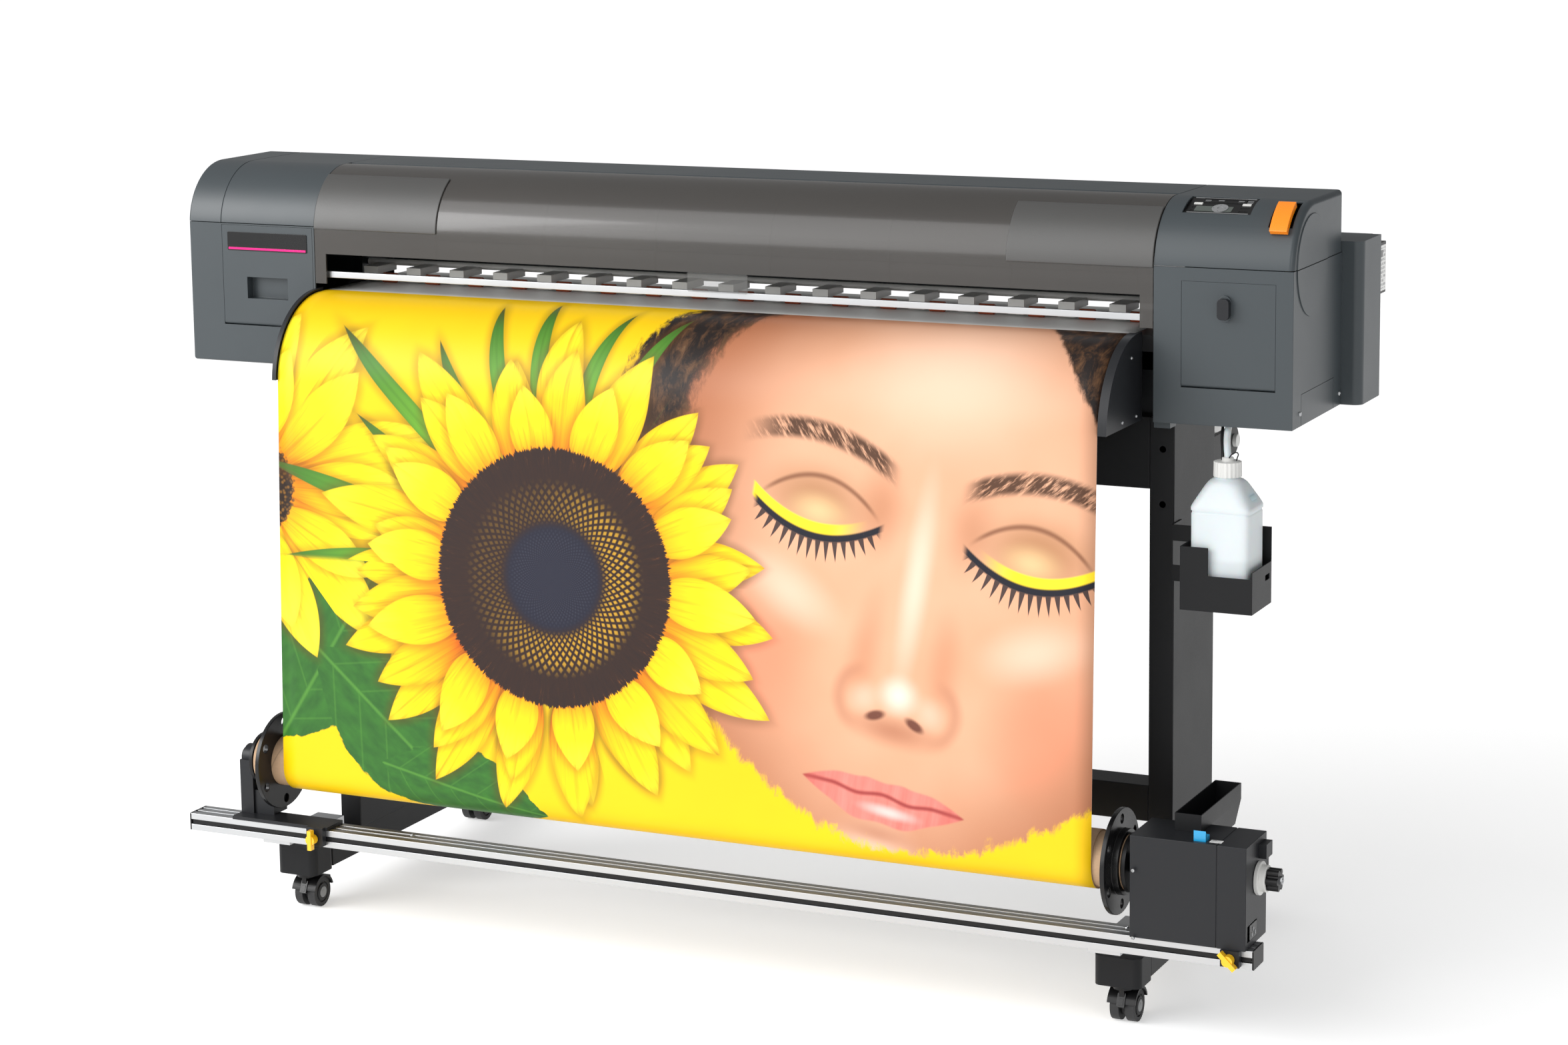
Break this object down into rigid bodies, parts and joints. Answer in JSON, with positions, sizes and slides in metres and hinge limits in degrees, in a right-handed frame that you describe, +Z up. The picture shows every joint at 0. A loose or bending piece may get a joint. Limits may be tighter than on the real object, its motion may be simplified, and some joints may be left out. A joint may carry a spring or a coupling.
{
  "type": "printer cutter",
  "caption": "Wide-format roll-to-roll inkjet printer on a wheeled stand, with smoked front cover, printed media over a curved apron and a motor take-up unit.",
  "frame": {"origin": "on the floor under the middle of the overall box", "axes": "+X along the machine to its control-panel end, +Y towards the back, +Z up"},
  "size_m": [1.897, 0.72, 1.2054],
  "materials": {
    "cover_paint": "satin",
    "stand_paint": "satin",
    "black_plastic": "matt",
    "smoked": "glossy",
    "aluminium": "satin",
    "steel": "satin",
    "rubber": "matt",
    "orange": "glossy",
    "yellow": "glossy",
    "blue": "glossy",
    "white_plastic": "matt",
    "key_plastic": "matt",
    "bottle_plastic": "matt",
    "board": "matt",
    "media": "satin",
    "blank_media": "matt"
  },
  "bodies": {
    "frame": {"foot_beams": "stand_paint", "foot_caps": "black_plastic", "stand_posts": "stand_paint", "stand_beams": "stand_paint", "chassis": "stand_paint", "left_top_cover": "cover_paint", "left_lower_cover": "cover_paint", "right_top_cover": "cover_paint", "right_lower_cover": "cover_paint", "rear_cover": "cover_paint", "ink_unit": "cover_paint", "platen": "stand_paint", "front_apron": "stand_paint", "apron_side_plates": "stand_paint", "carriage_rail": "aluminium", "capping_station": "black_plastic", "bottle_holder": "stand_paint", "drain_tube": "bottle_plastic", "accessory_tray": "stand_paint", "takeup_rail": "aluminium", "takeup_housing": "stand_paint", "roll_holders": "stand_paint", "media_web": "media", "control_panel": "black_plastic", "carriage_belt": "rubber"},
    "front_cover": {"front_cover": "smoked", "cover_grips": "cover_paint"},
    "left_door": {"left_door": "cover_paint"},
    "right_door": {"right_door": "cover_paint"},
    "loading_lever": {"loading_lever": "orange"},
    "pinch_arms": {"pinch_arms": "white_plastic"},
    "pinch_rollers": {"pinch_rollers": "orange"},
    "grit_roller": {"grit_roller": "steel"},
    "carriage": {"carriage": "black_plastic"},
    "drive_pulley": {"drive_pulley": "aluminium"},
    "menu_key": {"menu_key": "key_plastic"},
    "cursor_pad": {"cursor_pad": "key_plastic"},
    "pause_key": {"pause_key": "key_plastic"},
    "takeup_follower": {"takeup_follower": "stand_paint"},
    "follower_spindle": {"follower_spindle": "white_plastic"},
    "follower_knob": {"follower_knob": "yellow"},
    "takeup_spool": {"takeup_shaft": "white_plastic", "takeup_roll": "board", "guide_flanges": "black_plastic"},
    "unit_knob": {"unit_knob": "yellow"},
    "takeup_switch": {"takeup_switch": "blue"},
    "waste_bottle": {"waste_bottle": "bottle_plastic"},
    "feed_roll": {"feed_roll": "blank_media"},
    "caster_1": {"caster_1": "black_plastic"},
    "wheels_1": {"wheels_1": "black_plastic"},
    "ink_cartridge_1": {"ink_cartridge_1": "white_plastic"},
    "caster_2": {"caster_2": "black_plastic"},
    "wheels_2": {"wheels_2": "black_plastic"},
    "ink_cartridge_2": {"ink_cartridge_2": "white_plastic"},
    "caster_3": {"caster_3": "black_plastic"},
    "wheels_3": {"wheels_3": "black_plastic"},
    "ink_cartridge_3": {"ink_cartridge_3": "white_plastic"},
    "caster_4": {"caster_4": "black_plastic"},
    "wheels_4": {"wheels_4": "black_plastic"},
    "ink_cartridge_4": {"ink_cartridge_4": "white_plastic"}
  },
  "joints": [
    {"name": "front_cover_hinge", "type": "hinge", "parent": "frame", "child": "front_cover", "pos_m": [0.0005, -0.06, 1.1985], "axis": [-1, 0, 0], "range_deg": [0, 80]},
    {"name": "left_door_hinge", "type": "hinge", "parent": "frame", "child": "left_door", "pos_m": [-0.7985, -0.164, 0.952], "axis": [1, 0, 0], "range_deg": [0, 85]},
    {"name": "right_door_hinge", "type": "hinge", "parent": "frame", "child": "right_door", "pos_m": [0.8215, -0.164, 0.944], "axis": [1, 0, 0], "range_deg": [0, 85]},
    {"name": "lever_hinge", "type": "hinge", "parent": "frame", "child": "loading_lever", "pos_m": [0.8905, -0.07, 1.104], "axis": [-1, 0, 0], "range_deg": [0, 22]},
    {"name": "pinch_lift", "type": "hinge", "parent": "frame", "child": "pinch_arms", "pos_m": [0.0005, 0.002, 1.036], "axis": [-1, 0, 0], "range_deg": [0, 7]},
    {"name": "pinch_spin", "type": "hinge", "parent": "pinch_arms", "child": "pinch_rollers", "pos_m": [0.0005, -0.045, 1.0172], "axis": [1, 0, 0], "continuous": true},
    {"name": "grit_spin", "type": "hinge", "parent": "frame", "child": "grit_roller", "pos_m": [0.0005, -0.045, 0.9986], "axis": [1, 0, 0], "continuous": true},
    {"name": "carriage_slide", "type": "slide", "parent": "frame", "child": "carriage", "axis": [-1, 0, 0], "range_m": [0, 1.444]},
    {"name": "pulley_spin", "type": "hinge", "parent": "frame", "child": "drive_pulley", "pos_m": [0.8675, 0.025, 1.11], "axis": [0, 0, 1], "range_deg": [0, 5912]},
    {"name": "menu_key_press", "type": "slide", "parent": "frame", "child": "menu_key", "axis": [0, 0.3387, -0.9409], "range_m": [0, 0.001], "stiffness_N_per_m": 300, "springref_m": -0.0005},
    {"name": "cursor_pad_press", "type": "slide", "parent": "frame", "child": "cursor_pad", "axis": [0, 0.3387, -0.9409], "range_m": [0, 0.001], "stiffness_N_per_m": 300, "springref_m": -0.0005},
    {"name": "pause_key_press", "type": "slide", "parent": "frame", "child": "pause_key", "axis": [0, 0.3387, -0.9409], "range_m": [0, 0.001], "stiffness_N_per_m": 300, "springref_m": -0.0005},
    {"name": "follower_slide", "type": "slide", "parent": "frame", "child": "takeup_follower", "axis": [-1, 0, 0], "range_m": [0, 0.06]},
    {"name": "follower_spin", "type": "hinge", "parent": "takeup_follower", "child": "follower_spindle", "pos_m": [-0.7685, -0.282, 0.258], "axis": [1, 0, 0], "continuous": true},
    {"name": "follower_knob_turn", "type": "hinge", "parent": "takeup_follower", "child": "follower_knob", "pos_m": [-0.6345, -0.345, 0.153], "axis": [0, -1, 0], "continuous": true},
    {"name": "takeup_spin", "type": "hinge", "parent": "frame", "child": "takeup_spool", "pos_m": [0.0005, -0.282, 0.258], "axis": [1, 0, 0], "continuous": true},
    {"name": "unit_knob_turn", "type": "hinge", "parent": "frame", "child": "unit_knob", "pos_m": [0.8865, -0.345, 0.153], "axis": [0, -1, 0], "continuous": true},
    {"name": "switch_rock", "type": "hinge", "parent": "frame", "child": "takeup_switch", "pos_m": [0.8365, -0.319, 0.313], "axis": [1, 0, 0], "range_deg": [-12, 12]},
    {"name": "bottle_lift", "type": "slide", "parent": "frame", "child": "waste_bottle", "axis": [0, 0, 1], "range_m": [0, 0.012]},
    {"name": "feed_spin", "type": "hinge", "parent": "frame", "child": "feed_roll", "pos_m": [0.0005, 0.1762, 0.8], "axis": [1, 0, 0], "continuous": true},
    {"name": "caster_1_swivel", "type": "hinge", "parent": "frame", "child": "caster_1", "pos_m": [-0.7155, -0.243, 0.06], "axis": [0, 0, 1], "continuous": true},
    {"name": "wheels_1_spin", "type": "hinge", "parent": "caster_1", "child": "wheels_1", "pos_m": [-0.7155, -0.227, 0.024], "axis": [1, 0, 0], "continuous": true},
    {"name": "cartridge_1_pull", "type": "slide", "parent": "frame", "child": "ink_cartridge_1", "axis": [0, 1, 0], "range_m": [0, 0.08]},
    {"name": "caster_2_swivel", "type": "hinge", "parent": "frame", "child": "caster_2", "pos_m": [0.6935, -0.243, 0.06], "axis": [0, 0, 1], "continuous": true},
    {"name": "wheels_2_spin", "type": "hinge", "parent": "caster_2", "child": "wheels_2", "pos_m": [0.6935, -0.227, 0.024], "axis": [1, 0, 0], "continuous": true},
    {"name": "cartridge_2_pull", "type": "slide", "parent": "frame", "child": "ink_cartridge_2", "axis": [0, 1, 0], "range_m": [0, 0.08]},
    {"name": "caster_3_swivel", "type": "hinge", "parent": "frame", "child": "caster_3", "pos_m": [-0.7155, 0.328, 0.06], "axis": [0, 0, 1], "continuous": true},
    {"name": "wheels_3_spin", "type": "hinge", "parent": "caster_3", "child": "wheels_3", "pos_m": [-0.7155, 0.312, 0.024], "axis": [1, 0, 0], "continuous": true},
    {"name": "cartridge_3_pull", "type": "slide", "parent": "frame", "child": "ink_cartridge_3", "axis": [0, 1, 0], "range_m": [0, 0.08]},
    {"name": "caster_4_swivel", "type": "hinge", "parent": "frame", "child": "caster_4", "pos_m": [0.6935, 0.328, 0.06], "axis": [0, 0, 1], "continuous": true},
    {"name": "wheels_4_spin", "type": "hinge", "parent": "caster_4", "child": "wheels_4", "pos_m": [0.6935, 0.312, 0.024], "axis": [1, 0, 0], "continuous": true},
    {"name": "cartridge_4_pull", "type": "slide", "parent": "frame", "child": "ink_cartridge_4", "axis": [0, 1, 0], "range_m": [0, 0.08]}
  ],
  "couplings": [
    {"joint": "pinch_lift", "follows": "lever_hinge", "ratio": 0.3182},
    {"joint": "pinch_spin", "follows": "grit_spin", "ratio": -1.125},
    {"joint": "follower_spin", "follows": "takeup_spin", "ratio": 1},
    {"joint": "pulley_spin", "follows": "carriage_slide", "rad_per_m": 71.43}
  ]
}
